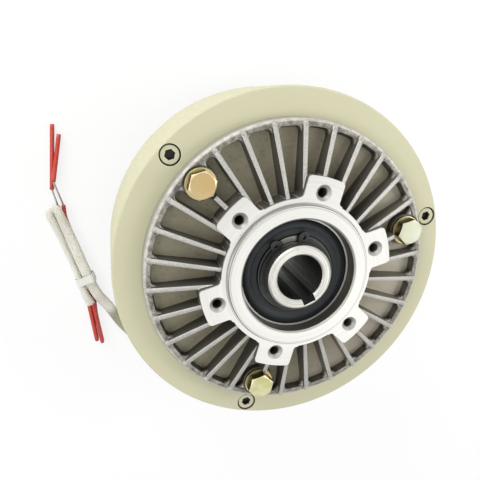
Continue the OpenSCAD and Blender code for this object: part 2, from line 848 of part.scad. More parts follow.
// Outline of the bundle in the tie, grown by the thickness of the band
module tie_outline(half_w, top, top_r, bottom_r, grow) {
    hull() for (y = [-1, 1]) {
        translate([y * (half_w - top_r), top - top_r]) circle(r = top_r + grow, $fn = 32);
        translate([y * (half_w - bottom_r), tie_t + bottom_r]) circle(r = bottom_r + grow, $fn = 32);
    }
}

// Bare strands from just outside the end of a wire to the slug cut from it
module bare_run(wire, slug) {
    from = wire[len(wire) - 1];
    rod(from + run_gap * unit(slug[0] - from), slug[0], strand_d);
}

module lead_strands() {
    color(steel) {
        bare_run(wire_a_route, slug_a);
        bare_run(wire_b_route, slug_b);
    }
}

module lead_slugs() {
    color(red) {
        rod(slug_a[0], slug_a[1], wire_d);
        rod(slug_b[0], slug_b[1], wire_d);
    }
}

front_yoke();
rear_yoke();
yoke_screws();
coil_bobbin();
coil_winding();
pole_spacer();
powder_ring();
front_cover();
rear_cover();
front_cover_bolts();
rear_cover_bolts();
front_cover_washers();
rear_cover_washers();
front_bearing_outer_race();
rear_bearing_outer_race();
front_bearing_seals();
rear_bearing_seals();
front_seal_plate();
rear_seal_plate();
front_shaft_seal();
rear_shaft_seal();
lead_grommet();
lead_sleeve();
lead_wire_a();
lead_wire_b();
lead_tie();
lead_strands();
lead_slugs();
shaft();
rotor_drum();
rotor_key();
front_bearing_inner_race();
rear_bearing_inner_race();
front_circlip();
rear_circlip();
front_bearing_cage();
front_bearing_balls();
rear_bearing_cage();
rear_bearing_balls();
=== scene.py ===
"""Looks of a magnetic powder brake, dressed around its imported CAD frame.

Sizes are in metres, apart from the routes of the lead, which are in millimetres. Finishes are given in
display colours from 0 to 255.
"""
import math

import bmesh
import bpy
from mathutils import Matrix, Vector


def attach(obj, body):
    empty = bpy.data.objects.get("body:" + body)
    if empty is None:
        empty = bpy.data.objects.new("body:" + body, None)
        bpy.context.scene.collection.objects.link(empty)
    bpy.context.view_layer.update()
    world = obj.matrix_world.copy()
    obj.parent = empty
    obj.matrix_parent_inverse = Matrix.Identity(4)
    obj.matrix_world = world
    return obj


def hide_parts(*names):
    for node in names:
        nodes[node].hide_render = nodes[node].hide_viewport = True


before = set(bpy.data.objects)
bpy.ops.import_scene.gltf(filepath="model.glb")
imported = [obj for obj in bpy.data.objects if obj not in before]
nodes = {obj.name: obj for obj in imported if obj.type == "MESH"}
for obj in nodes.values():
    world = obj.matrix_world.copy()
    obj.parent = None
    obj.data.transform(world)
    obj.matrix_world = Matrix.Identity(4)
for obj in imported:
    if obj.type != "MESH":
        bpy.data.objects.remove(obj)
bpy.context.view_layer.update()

# Sides of the brake, with the way out along the shaft
SIDES = {"front": 1, "rear": -1}

# Height of the middle of the drum, and half its width
MID_HEIGHT = 0.047
HALF_DRUM = 0.0275

# Radii of a cover, of its bearing seat and of the bore of the shaft
COVER_RADIUS = 0.080
RIM_INSIDE = 0.076
PILOT_RADIUS = 0.0385
SEAT_RADIUS = 0.031
BORE_RADIUS = 0.0125

# Levels above the drum face: rim, hub face, bolt bosses and washers, and where the crests of the fins, the
# rubbed edges with their painted highlights and the countersinks of the ears begin
RIM_TOP = 0.007
HUB_FACE = 0.017
BOSS_TOP = 0.0064
WASHER_TOP = 0.0081
CREST_LEVEL = 0.0052
RUBBED_HIGHLIGHT_LEVEL = 0.0045
COUNTERSINK_LEVEL = 0.0140

# Rings of cover bolts and of cap screws: how many, their circles, the radii of the spot faces and recesses
# round them, and the depth at which the sockets of the screws are dark
RING_COUNT = 3
BOLT_CIRCLE = 0.0695
SPOT_RADIUS = 0.0087
SCREW_CIRCLE = 0.0885
RECESS_RADIUS = 0.0055
SOCKET_DEPTH = 0.0012

# Fins of a cover, and the rounded noses at their outer ends
FIN_COUNT = 30
NOSE_RADIUS = 0.0774
NOSE_LEVEL = RIM_TOP + 0.0001
NOSE_SIZE = (0.0016, 0.0016, 0.0015)

# Pocket between two fins: floor at the rim, foot and lean of the rim wall, half a fin at the drum face and
# how it thins with height, and the hollow rounding of the outer corners with how deep its back is buried
POCKET_FLOOR = 0.0020
WALL_FOOT = 0.0752
WALL_LEAN = 0.16
FIN_HALF = 0.0017
FIN_LEAN = 0.05
FILLET_RADIUS = 0.0024
FILLET_BURIED = 0.0003
FILLET_STEPS = 7

# Bearing: its face above mid height, its width, how far its seals lie below its faces, and the outline of a
# rubber seal as radius and depth
BEARING_FACE = 0.0400
BEARING_WIDTH = 0.0090
SEAL_SINK = 0.0005
SEAL_OUTLINE = [
    (0.02955, 0.0000), (0.02955, 0.0009), (0.02125, 0.0009), (0.02125, 0.0002), (0.02190, 0.0001),
    (0.02240, 0.0004), (0.02460, 0.0004), (0.02500, 0.0001), (0.02540, 0.0000)]
SEAL_SEGMENTS = 128

# Middle of the opening of a circlip and half its width, as angles round the shaft
CIRCLIP_TURN = math.radians(328)
CIRCLIP_OPENING = math.radians(15)

# Rounding of the edges of solids: how near points are welded, the least angle of an edge, and its steps
WELD_REACH = 0.000002
EDGE_ANGLE = math.radians(35)
EDGE_SEGMENTS = 2

# Materials: the width over which the mask of a place fades, the least radius that is divided by, the pitch
# of the turning marks of steel and of the coil wire, and the rays for corners and edges
MASK_BLUR = 0.0004
LEAST_RADIUS = 0.001
TURNING_PITCH = 0.0004
COIL_PITCH = 0.0008
CORNER_SAMPLES = 6

# Stage: size and drop of the floor, how much of it glows where it is seen, and the strengths of the sky on
# its dim and on its bright side with how far the change reaches, and where most lights are turned to
FLOOR_SIZE = 3.0
FLOOR_DROP = 0.0003
FLOOR_GLOW = 0.80
SKY_DIM = 0.44
SKY_BRIGHT = 0.73
SKY_CHANGE = 0.35
LIGHT_TARGET = (0, 0, 0.05)

# Camera: where it stands, what it looks at and which way is up in the picture
EYE = Vector((0.1272, -0.0005, 0.3074))
AIM = Vector((0.0339, 0.0128, 0.0900))
UP = Vector((0.615, -0.726, -0.308))
LENS = 35.49
SHIFT = (0.0064, 0.0276)

# Lead: outlet of the grommet, then the routes of the sleeve and of the two wires, in millimetres
OUTLET = [(-10.40, 98.95, 35), (-10.71, 101.94, 35)]
SLEEVE_ROUTE = OUTLET + [
    (-10, 105.5, 33.5), (-6, 106.5, 28.5), (0, 106, 22.5), (6, 105.8, 16.5), (12, 106, 11), (18, 106.6, 6.6),
    (25, 106.4, 3.6), (32, 104.8, 2), (38, 103.3, 1.8), (44, 101.9, 2.6), (50, 100.2, 4.4), (56, 97.8, 5),
    (61.9, 94.8, 5), (72, 89.5, 4.6), (84, 83, 4.4), (94, 77.5, 5), (99, 74.8, 5.8), (103.6, 72.4, 6.2),
    (105.6, 72.2, 6.2), (107.2, 73.4, 6.2), (107.4, 75.4, 6.2), (106.1, 77, 6.2), (101.5, 79.4, 5.6),
    (96.5, 82.1, 4.6), (86.5, 87.6, 3.6), (74.5, 94.1, 3.6), (64.7, 99.7, 4.6), (56.7, 104.4, 5.6),
    (49, 108, 5.1)]
WIRE_A_ROUTE = [
    (49.9, 109, 5.1), (44, 113.9, 4.6), (37, 119.7, 4.2), (30, 125.4, 4.2), (28.8, 126.4, 3.8),
    (28.3, 126.8, 2.8), (28.8, 126.4, 1.8), (30, 125.4, 1.4), (37, 119.7, 1.4), (44, 113.5, 1.4),
    (50, 107.5, 1.4), (55, 102.3, 1.6), (62.6, 96.5, 2), (72.7, 90.7, 1.6), (84.7, 84.2, 1.4),
    (94.7, 78.7, 1.4), (100, 75.4, 1.4), (105.5, 70.8, 1.4)]
WIRE_B_ROUTE = [
    (48.1, 107, 5.1), (42.4, 111.7, 4.6), (34.9, 117.6, 4.2), (26.4, 124.3, 4.2), (25.1, 125.3, 3.8),
    (24.6, 125.7, 2.8), (25.1, 125.3, 1.8), (26.4, 124.3, 1.4), (34.9, 117.6, 1.4), (42.4, 111.4, 1.4),
    (48.2, 105.6, 1.4), (53.2, 100.3, 1.6), (61.3, 94, 2), (71.3, 88.3, 1.6), (83.3, 81.8, 1.4),
    (93.3, 76.3, 1.4), (98.4, 73, 1.4), (103.5, 68.2, 1.4)]
SLUG_A = [(114.5, 65, 1.4), (138.6, 34.5, 1.4)]
SLUG_B = [(116.9, 60.2, 4.2), (132.3, 36.4, 1.4)]

# How far the flat sleeve stands on its edge at each point of its route, from lying flat to upright
SLEEVE_STAND = [0] * 17 + [0.2, 0.35] + [0.45] * 4 + [0.5, 0.55, 0.65, 0.8, 0.85, 0.8, 0.6, 0.35]

# Sleeve in metres: section and how full its corners are, length of the painted shadow near the drum, depth of
# its open end, and its braid
SLEEVE_WIDTH = 0.0068
SLEEVE_THICKNESS = 0.0032
SLEEVE_FULLNESS = 0.78
SLEEVE_SHADOWED = 0.064
SLEEVE_MOUTH = 0.003
SLEEVE_SIDES = 28
SLEEVE_THREADS = 12
THREAD_PITCH = 0.0013

# Wires, slugs and strands in metres: thickness and depth of open ends, with sides, steps and turns of twist
WIRE_DIAMETER = 0.0026
WIRE_MOUTH = 0.001
WIRE_SIDES = 18
SLUG_MOUTH = 0.002
SLUG_STEPS = 12
STRAND_BUNDLE = 0.0012
OUTER_STRANDS = 6
STRAND_STEPS = 24
STRAND_TWIST = 0.9

# Steps in each span of a route, and the rings of the open end of a tube as shares of its depth and width
PATH_STEPS = 8
MOUTH_RINGS = [(0.0, 0.95), (0.0, 0.78), (1.0, 0.74)]


def metres(route):
    """Route points in metres."""
    return [Vector(point) / 1000 for point in route]


def smooth_path(points):
    """Curve through the points, with even steps in each span and no kinks where spacing changes."""
    ends = [2 * points[0] - points[1]] + points + [2 * points[-1] - points[-2]]
    path = []
    for a, b, c, d in zip(ends, ends[1:], ends[2:], ends[3:]):
        t1 = (b - a).length ** 0.5
        t2 = t1 + (c - b).length ** 0.5
        t3 = t2 + (d - c).length ** 0.5
        for step in range(PATH_STEPS):
            t = t1 + (t2 - t1) * step / PATH_STEPS
            ab = a.lerp(b, t / t1)
            bc = b.lerp(c, (t - t1) / (t2 - t1))
            cd = c.lerp(d, (t - t2) / (t3 - t2))
            before = ab.lerp(bc, t / t2)
            after = bc.lerp(cd, (t - t1) / (t3 - t1))
            path.append(before.lerp(after, (t - t1) / (t2 - t1)))
    path.append(points[-1].copy())
    return path


def spread(values):
    """Numbers at the points of a smooth path, between those given at its route points."""
    between = [a + (b - a) * step / PATH_STEPS
               for a, b in zip(values, values[1:]) for step in range(PATH_STEPS)]
    return between + [values[-1]]


def path_frames(path, steep=0.05):
    """Tangent, level side and upright of each point, with no flips along the way or where it is steep."""
    frames = []
    side = None
    for i in range(len(path)):
        tangent = (path[min(i + 1, len(path) - 1)] - path[max(i - 1, 0)]).normalized()
        level = tangent.cross(Vector((0, 0, 1)))
        if level.length > steep:
            level.normalize()
            if side is not None and level.dot(side) < 0:
                level.negate()
            side = level
        flat = (side - tangent * side.dot(tangent)).normalized()
        frames.append((tangent, flat, flat.cross(tangent)))
    return frames


def even_turns(count):
    """Angles of even steps round a circle."""
    return [2 * math.pi * k / count for k in range(count)]


def pushed(value, fullness):
    """Sine or cosine moved outward: at 1 a section stays an ellipse, and below 1 it fills its corners."""
    return math.copysign(abs(value) ** fullness, value)


def mesh_from(grid, name):
    """Mesh of a finished grid of points and faces."""
    mesh = bpy.data.meshes.new(name)
    grid.to_mesh(mesh)
    grid.free()
    return mesh


def tube_mesh(name, path, widths, heights, sides, mouth, fullness=1.0):
    """Tube along a path, closed at its start and open for a short depth at its far end."""
    rows = [(point, axes, w / 2, h / 2)
            for point, axes, w, h in zip(path, path_frames(path), widths, heights)]
    end, axes, half_width, half_height = rows.pop()
    for share, scale in MOUTH_RINGS:
        rows.append((end - axes[0] * (mouth * share), axes, half_width * scale, half_height * scale))
    grid = bmesh.new()
    uv = grid.loops.layers.uv.new("UVMap")
    rings = []
    run = [0.0]
    for i, (point, (_, side, upright), half_width, half_height) in enumerate(rows):
        ring = []
        for turn in even_turns(sides):
            across = side * (pushed(math.cos(turn), fullness) * half_width)
            over = upright * (pushed(math.sin(turn), fullness) * half_height)
            ring.append(grid.verts.new(point + across + over))
        rings.append(ring)
        if i:
            run.append(run[-1] + (point - rows[i - 1][0]).length)
    for i, (ring, after) in enumerate(zip(rings, rings[1:])):
        for k in range(sides):
            j = (k + 1) % sides
            face = grid.faces.new((ring[k], ring[j], after[j], after[k]))
            face.smooth = True
            corners = ((k, i), (k + 1, i), (k + 1, i + 1), (k, i + 1))
            for loop, (u, v) in zip(face.loops, corners):
                loop[uv].uv = (u / sides, run[v])
    grid.faces.new(list(reversed(rings[0])))
    grid.faces.new(rings[-1])
    bmesh.ops.recalc_face_normals(grid, faces=grid.faces)
    return mesh_from(grid, name)


def wire_mesh(name, path, mouth):
    """Round tube as thick as a wire."""
    thickness = [WIRE_DIAMETER] * len(path)
    return tube_mesh(name, path, thickness, thickness, WIRE_SIDES, mouth)


def slug_mesh(name, runs):
    """Cut lengths of insulation tube lying along straight runs."""
    grid = bmesh.new()
    for start, end in runs:
        straight = [start.lerp(end, i / SLUG_STEPS) for i in range(SLUG_STEPS + 1)]
        part = wire_mesh(name + "_part", straight, SLUG_MOUTH)
        grid.from_mesh(part)
        bpy.data.meshes.remove(part)
    return mesh_from(grid, name)


def strand_curve(name, runs):
    """Strands twisted round a middle one along each straight run, each a third as thick as the bundle."""
    curve = bpy.data.curves.new(name, "CURVE")
    curve.dimensions = "3D"
    curve.bevel_depth = STRAND_BUNDLE / 6
    curve.bevel_resolution = 2
    curve.use_fill_caps = True
    for start, end in runs:
        tangent = (end - start).normalized()
        side = tangent.cross(Vector((0, 0, 1))).normalized()
        upright = side.cross(tangent)
        for strand in range(OUTER_STRANDS + 1):
            reach = 0.0 if strand == OUTER_STRANDS else STRAND_BUNDLE / 3
            spline = curve.splines.new("POLY")
            spline.points.add(STRAND_STEPS)
            for i, point in enumerate(spline.points):
                t = i / STRAND_STEPS
                turn = 2 * math.pi * (strand / OUTER_STRANDS + STRAND_TWIST * t)
                place = start.lerp(end, t) + reach * (math.cos(turn) * side + math.sin(turn) * upright)
                point.co = (*place, 1.0)
    return curve


def lathe_mesh(name, profiles, segments):
    """Rings turned about the shaft axis, each from a closed outline of radius and height."""
    grid = bmesh.new()
    for outline in profiles:
        loops = [[grid.verts.new((r * math.cos(turn), r * math.sin(turn), z)) for r, z in outline]
                 for turn in even_turns(segments)]
        for k in range(segments):
            here, there = loops[k], loops[(k + 1) % segments]
            for i in range(len(outline)):
                j = (i + 1) % len(outline)
                grid.faces.new((here[i], there[i], there[j], here[j])).smooth = True
    bmesh.ops.recalc_face_normals(grid, faces=grid.faces)
    return mesh_from(grid, name)


def under_bolt(fin):
    """Whether a bolt boss stands in place of the outer end of a fin, counted from the x axis."""
    return fin % (FIN_COUNT // RING_COUNT) == 0


def fin_noses(name, face, up):
    """Rounded ends of the fins where they run out on the rim, leaving out the fins under the bolts."""
    grid = bmesh.new()
    for fin, angle in enumerate(even_turns(FIN_COUNT)):
        if not under_bolt(fin):
            turn = Matrix.Rotation(angle, 4, "Z")
            place = Matrix.Translation((NOSE_RADIUS, 0, face + up * NOSE_LEVEL))
            bmesh.ops.create_uvsphere(grid, u_segments=16, v_segments=10, radius=1.0,
                                      matrix=turn @ place @ Matrix.Diagonal((*NOSE_SIZE, 1)))
    for surface in grid.faces:
        surface.smooth = True
    return mesh_from(grid, name)


def crossing(reach, other_reach):
    """Point at one distance from the shaft axis and at another from the axis of the bolt on the x axis."""
    x = (reach ** 2 + BOLT_CIRCLE ** 2 - other_reach ** 2) / (2 * BOLT_CIRCLE)
    return Vector((x, math.sqrt(reach ** 2 - x ** 2)))


def corner_outline(height, at_boss):
    """Plan of the filling in an outer pocket corner, at a fin or at a boss: hollow arc and buried back."""
    wall = WALL_FOOT + WALL_LEAN * (height - POCKET_FLOOR)
    if at_boss:
        centre = crossing(wall - FILLET_RADIUS, SPOT_RADIUS + FILLET_RADIUS)
        corner = crossing(wall, SPOT_RADIUS)
        first = (Vector((BOLT_CIRCLE, 0)) - centre).normalized()
    else:
        half = FIN_HALF - FIN_LEAN * height
        middle = half + FILLET_RADIUS
        centre = Vector((math.sqrt((wall - FILLET_RADIUS) ** 2 - middle ** 2), middle))
        corner = Vector((math.sqrt(wall ** 2 - half ** 2), half))
        first = Vector((0, -1))
    second = centre.normalized()
    start = math.atan2(first.y, first.x)
    sweep = (math.atan2(second.y, second.x) - start + math.pi) % (2 * math.pi) - math.pi
    arc = [start + sweep * i / FILLET_STEPS for i in range(FILLET_STEPS + 1)]
    outline = [centre + FILLET_RADIUS * Vector((math.cos(turn), math.sin(turn))) for turn in arc]
    back = FILLET_RADIUS + FILLET_BURIED
    outline.append(centre + back * second)
    outline.append(corner + FILLET_BURIED * (first + second))
    outline.append(centre + back * first)
    return outline


def pocket_fillets(name, face, up):
    """Hollow roundings in the outer corners of the pockets, beside each fin and beside each bolt boss."""
    grid = bmesh.new()
    for fin, angle in enumerate(even_turns(FIN_COUNT)):
        at_boss = under_bolt(fin)
        turn = Matrix.Rotation(angle, 3, "Z")
        levels = (POCKET_FLOOR - FILLET_BURIED, BOSS_TOP if at_boss else RIM_TOP - FILLET_BURIED)
        for side in (-1, 1):
            rings = []
            for height in levels:
                plan = [turn @ Vector((p.x, side * p.y, 0)) for p in corner_outline(height, at_boss)]
                rings.append([grid.verts.new((p.x, p.y, face + up * height)) for p in plan])
            low, high = rings
            for k in range(len(low)):
                j = (k + 1) % len(low)
                grid.faces.new((low[k], low[j], high[j], high[k])).smooth = k < FILLET_STEPS
            grid.faces.new(low)
            grid.faces.new(high)
    bmesh.ops.recalc_face_normals(grid, faces=grid.faces)
    return mesh_from(grid, name)


def linear(display):
    """Linear colour of a display colour."""
    parts = [c / 255 for c in display]
    return tuple(p / 12.92 if p <= 0.04045 else ((p + 0.055) / 1.055) ** 2.4 for p in parts) + (1.0,)


def set_inputs(tree, node, inputs):
    """Links each input of a node, found by name or number, or sets it to a constant."""
    for key, value in inputs.items():
        if isinstance(value, bpy.types.NodeSocket):
            tree.links.new(value, node.inputs[key])
        else:
            node.inputs[key].default_value = value


def add_node(tree, kind, inputs, **settings):
    """New node with its settings and inputs."""
    node = tree.nodes.new(kind)
    for setting, value in settings.items():
        setattr(node, setting, value)
    set_inputs(tree, node, inputs)
    return node


class Shade:
    """Builder of one procedural material around a Principled shader."""

    def __init__(self, name, metallic=0.0, coat=0.0, sheen=0.0, specular=0.5):
        self.material = bpy.data.materials.new(name)
        self.material.use_nodes = True
        self.tree = self.material.node_tree
        self.shader = self.tree.nodes["Principled BSDF"]
        set_inputs(self.tree, self.shader, {"Metallic": metallic, "Coat Weight": coat, "Sheen Weight": sheen,
                                            "Specular IOR Level": specular})
        coordinates = self.tree.nodes.new("ShaderNodeTexCoord")
        self.place = coordinates.outputs["Object"]
        self.normal = coordinates.outputs["Normal"]
        self.uv = coordinates.outputs["UV"]

    def node(self, kind, inputs, **settings):
        """New node of this material."""
        return add_node(self.tree, kind, inputs, **settings)

    def math(self, operation, a, b=0.0):
        """Result of one sum."""
        return self.node("ShaderNodeMath", {0: a, 1: b}, operation=operation).outputs[0]

    def both(self, *masks):
        """1 where all the masks are 1, as their product."""
        result = masks[0]
        for mask in masks[1:]:
            result = self.math("MULTIPLY", result, mask)
        return result

    def step(self, value, low, high):
        """0 below low, 1 above high and smooth between; a high below low turns it round."""
        first, last = (0.0, 1.0) if low < high else (1.0, 0.0)
        spans = {"From Min": min(low, high), "From Max": max(low, high), "To Min": first, "To Max": last}
        node = self.node("ShaderNodeMapRange", {"Value": value, **spans}, interpolation_type="SMOOTHSTEP")
        return node.outputs["Result"]

    def parts(self, vector):
        """The three components of a vector."""
        return self.node("ShaderNodeSeparateXYZ", {0: vector}).outputs

    def vector(self, x, y, z):
        """Vector of three components."""
        return self.node("ShaderNodeCombineXYZ", {0: x, 1: y, 2: z}).outputs[0]

    def noise(self, scale, detail=3.0, roughness=0.55, at=None, distortion=0.0):
        """Cloudy numbers round a half, at the place on the part unless another is given."""
        inputs = {"Vector": self.place if at is None else at, "Scale": scale, "Detail": detail,
                  "Roughness": roughness, "Distortion": distortion}
        return self.node("ShaderNodeTexNoise", inputs).outputs["Fac"]

    def specks(self, scale, size):
        """1 inside small scattered dots."""
        dots = self.node("ShaderNodeTexVoronoi", {"Vector": self.place, "Scale": scale})
        return self.step(dots.outputs["Distance"], size, size * 0.6)

    def mix(self, amount, a, b):
        """Colour a where the amount is 0 and colour b where it is 1."""
        a, b = (linear(tone) if isinstance(tone, tuple) else tone for tone in (a, b))
        return self.node("ShaderNodeMix", {0: amount, 6: a, 7: b}, data_type="RGBA").outputs[2]

    def tint(self, base, mask, share, tone):
        """Colour that goes a share of the way to a tone where the mask is 1."""
        return self.mix(self.math("MULTIPLY", mask, share), base, tone)

    def blend(self, amount, a, b):
        """Number a where the amount is 0 and number b where it is 1."""
        return self.node("ShaderNodeMix", {0: amount, 2: a, 3: b}).outputs[0]

    def crevice(self, reach):
        """1 in the open and towards 0 in tight corners."""
        node = self.node("ShaderNodeAmbientOcclusion", {"Distance": reach}, samples=CORNER_SAMPLES)
        return node.outputs["AO"]

    def rounded(self, radius):
        """Normal of the shape with its edges rounded."""
        return self.node("ShaderNodeBevel", {"Radius": radius}, samples=CORNER_SAMPLES).outputs[0]

    def edge(self, radius):
        """Towards 1 along the edges of the shape."""
        geometry = self.tree.nodes.new("ShaderNodeNewGeometry")
        likeness = self.node("ShaderNodeVectorMath", {0: self.rounded(radius), 1: geometry.outputs["Normal"]},
                             operation="DOT_PRODUCT")
        return self.step(likeness.outputs["Value"], 0.995, 0.90)

    def bump(self, height, distance, strength, after=None):
        """Normal with fine relief, on top of another normal where one is given."""
        inputs = {"Strength": strength, "Distance": distance, "Height": height}
        if after is not None:
            inputs["Normal"] = after
        return self.node("ShaderNodeBump", inputs).outputs["Normal"]

    def square(self, x, y):
        """Square of the length of two components."""
        return self.math("ADD", self.math("MULTIPLY", x, x), self.math("MULTIPLY", y, y))

    def from_axis(self):
        """Distance from the shaft axis."""
        x, y, _ = self.parts(self.place)
        return self.math("POWER", self.square(x, y), 0.5)

    def outward(self):
        """Direction out from the shaft axis, as its x and its y."""
        x, y, _ = self.parts(self.place)
        radius = self.math("MAXIMUM", self.from_axis(), LEAST_RADIUS)
        return self.math("DIVIDE", x, radius), self.math("DIVIDE", y, radius)

    def above_drum(self):
        """Height above the drum face on either side."""
        off_middle = self.math("SUBTRACT", self.parts(self.place)[2], MID_HEIGHT)
        return self.math("SUBTRACT", self.math("ABSOLUTE", off_middle), HALF_DRUM)

    def facing(self):
        """1 on faces square to the shaft and 0 on walls along it."""
        return self.math("ABSOLUTE", self.parts(self.normal)[2])

    def near_axes(self, circle, reach):
        """1 within a reach of the axes of a ring of bolts or screws."""
        x, y, _ = self.parts(self.place)
        nearest = None
        for turn in even_turns(RING_COUNT):
            across = self.math("SUBTRACT", x, circle * math.cos(turn))
            along = self.math("SUBTRACT", y, circle * math.sin(turn))
            square = self.square(across, along)
            nearest = square if nearest is None else self.math("MINIMUM", nearest, square)
        return self.step(self.math("POWER", nearest, 0.5), reach + MASK_BLUR, reach)

    def turning(self, pitch):
        """Streaks round the shaft axis, about one pitch apart."""
        around, across = (self.math("MULTIPLY", part, 0.5) for part in self.outward())
        run = self.math("ADD", self.from_axis(), self.parts(self.place)[2])
        at = self.vector(self.math("DIVIDE", run, pitch), around, across)
        return self.noise(1.0, 2.0, 0.6, at=at)

    def done(self, base, roughness, normal, **others):
        """Sets the finished channels of the shader and gives the material."""
        set_inputs(self.tree, self.shader,
                   {"Base Color": base, "Roughness": roughness, "Normal": normal, **others})
        return self.material


def cream_paint(name, sockets=False):
    """Cream paint with orange peel, soft shade changes and a few specks, dark in the sockets of screws."""
    shade = Shade(name)
    cloud = shade.noise(9, 2)
    base = shade.mix(cloud, (188, 185, 154), (197, 194, 164))
    base = shade.tint(base, shade.noise(420, 2), 0.12, (186, 181, 148))
    # Lighter along the edges: a painted highlight
    base = shade.tint(base, shade.edge(0.0006), 0.35, (228, 225, 204))
    base = shade.tint(base, shade.specks(38, 0.022), 0.55, (120, 112, 84))
    # Darker in tight corners: painted shade
    open_air = shade.crevice(0.004)
    base = shade.mix(shade.step(open_air, 0.55, 0.15), base, (126, 122, 101))
    # Near black in the gaps round the screw heads: a painted shadow
    recess = shade.near_axes(SCREW_CIRCLE, RECESS_RADIUS + 0.0002)
    base = shade.mix(shade.both(recess, shade.step(open_air, 0.75, 0.35)), base, (12, 11, 8))
    # Dark in the sockets of the screws: bare steel, deepened by painted shade
    if sockets:
        deep = shade.step(shade.above_drum(), -SOCKET_DEPTH, -SOCKET_DEPTH - MASK_BLUR)
        base = shade.mix(deep, base, (38, 37, 34))
    peel = shade.bump(shade.noise(900, 2), 0.00003, 0.7)
    waves = shade.bump(shade.noise(60, 1), 0.0002, 0.25, peel)
    return shade.done(base, shade.blend(cloud, 0.58, 0.66), waves)


def cast_skin(shade, top, skin, open_air):
    """Colour of a blasted casting: pockets, crests of the fins, rim, bolt bosses and rubbed edges, with
    painted light and shade.
    """
    radius, height, facing = shade.from_axis(), shade.above_drum(), shade.facing()

    # Floors and flanks of the pockets: flanks darker as painted shade, and both lighter on one side of the
    # cover as painted light
    cloud = shade.noise(70, 4)
    floor = shade.mix(cloud, (134, 128, 106), (158, 152, 131))
    floor = shade.tint(floor, skin, 0.35, (101, 95, 79))
    floor = shade.tint(floor, shade.step(shade.noise(420, 5, 0.7), 0.50, 0.72), 0.45, (90, 83, 69))
    # Flanks of the fins in a darker tone: painted shade
    flank = shade.mix(cloud, (77, 74, 66), (95, 92, 83))
    x, y, _ = shade.parts(shade.place)
    across = shade.math("ADD", shade.math("MULTIPLY", x, 0.9), shade.math("MULTIPLY", y, 0.4))
    # One side of the cover lighter: painted light
    painted_light_side = shade.step(across, -0.02, -0.06)
    floor = shade.tint(floor, painted_light_side, 0.55, (190, 183, 169))
    flank = shade.tint(flank, painted_light_side, 0.60, (151, 146, 134))
    cast = shade.mix(shade.step(facing, 0.45, 0.25), floor, flank)

    # Crests, mottled rim with a brighter outer edge as painted highlight, and the noses of the fins on it
    grain = shade.step(shade.noise(1500, 4, 0.7), 0.36, 0.64)
    crest = shade.mix(grain, (158, 156, 148), (186, 184, 178))
    cast = shade.mix(top, cast, crest)
    rim = shade.both(shade.step(radius, RIM_INSIDE - 0.0004, RIM_INSIDE),
                     shade.step(height, RIM_TOP - 0.003, RIM_TOP - 0.001),
                     shade.step(height, RIM_TOP + 0.0007, RIM_TOP + 0.0003))
    mottle = shade.step(shade.noise(260, 5, 0.75), 0.38, 0.62)
    rim_skin = shade.mix(mottle, (101, 97, 88), (154, 150, 141))
    rim_highlight = shade.mix(mottle, (167, 164, 156), (194, 191, 183))
    rim_skin = shade.mix(shade.step(radius, RIM_INSIDE + 0.0018, RIM_INSIDE + 0.0026), rim_skin, rim_highlight)
    cast = shade.mix(rim, cast, rim_skin)
    nose = shade.both(shade.step(radius, RIM_INSIDE + 0.0002, RIM_INSIDE + 0.0008),
                      shade.step(height, RIM_TOP + 0.0002, RIM_TOP + 0.0006))
    cast = shade.mix(nose, cast, crest)

    # Outer wall of the rim, painted shade on the inner wall at the ends of the pockets, and painted shade on
    # the spot faces under the bolts
    outer_wall = shade.step(radius, COVER_RADIUS - 0.0006, COVER_RADIUS - 0.0002)
    cast = shade.mix(outer_wall, cast, (162, 159, 150))
    # Dark inner wall at the ends of the pockets: painted shade
    end_wall = shade.both(shade.step(radius, RIM_INSIDE - 0.0012, RIM_INSIDE - 0.0006),
                          shade.step(facing, 0.6, 0.4),
                          shade.step(radius, RIM_INSIDE + 0.0012, RIM_INSIDE + 0.0006),
                          shade.step(height, RIM_TOP, RIM_TOP - 0.0005))
    cast = shade.tint(cast, end_wall, 0.8, (54, 51, 44))
    # Spot faces round the bolts darkened: painted shade
    spot_face = shade.near_axes(BOLT_CIRCLE, SPOT_RADIUS + 0.0001)
    cast = shade.tint(cast, spot_face, 0.85, (78, 75, 63))

    # Rubbed edges with painted highlights, painted shade in the corners, and a painted highlight on the lip
    # of the hub
    # Lighter along the edges: partly rubbed metal, partly a painted highlight
    rubbed_highlight = shade.both(shade.edge(0.0006), shade.step(height, RUBBED_HIGHLIGHT_LEVEL, RUBBED_HIGHLIGHT_LEVEL + 0.0015),
                        shade.math("SUBTRACT", 1.0, spot_face), shade.blend(rim, 1.0, 0.4))
    cast = shade.tint(cast, rubbed_highlight, 0.8, (212, 212, 209))
    # Darker in the corners of the casting: painted shade
    corners = shade.both(shade.step(open_air, 0.55, 0.10),
                         shade.step(radius, COVER_RADIUS - 0.0005, COVER_RADIUS - 0.0015))
    cast = shade.tint(cast, corners, 0.6, (56, 51, 43))
    # Lighter near the top of the hub walls: a painted highlight
    lip = shade.step(height, HUB_FACE - 0.0016, HUB_FACE - 0.0006)
    return shade.tint(cast, lip, 0.6, (184, 182, 177))


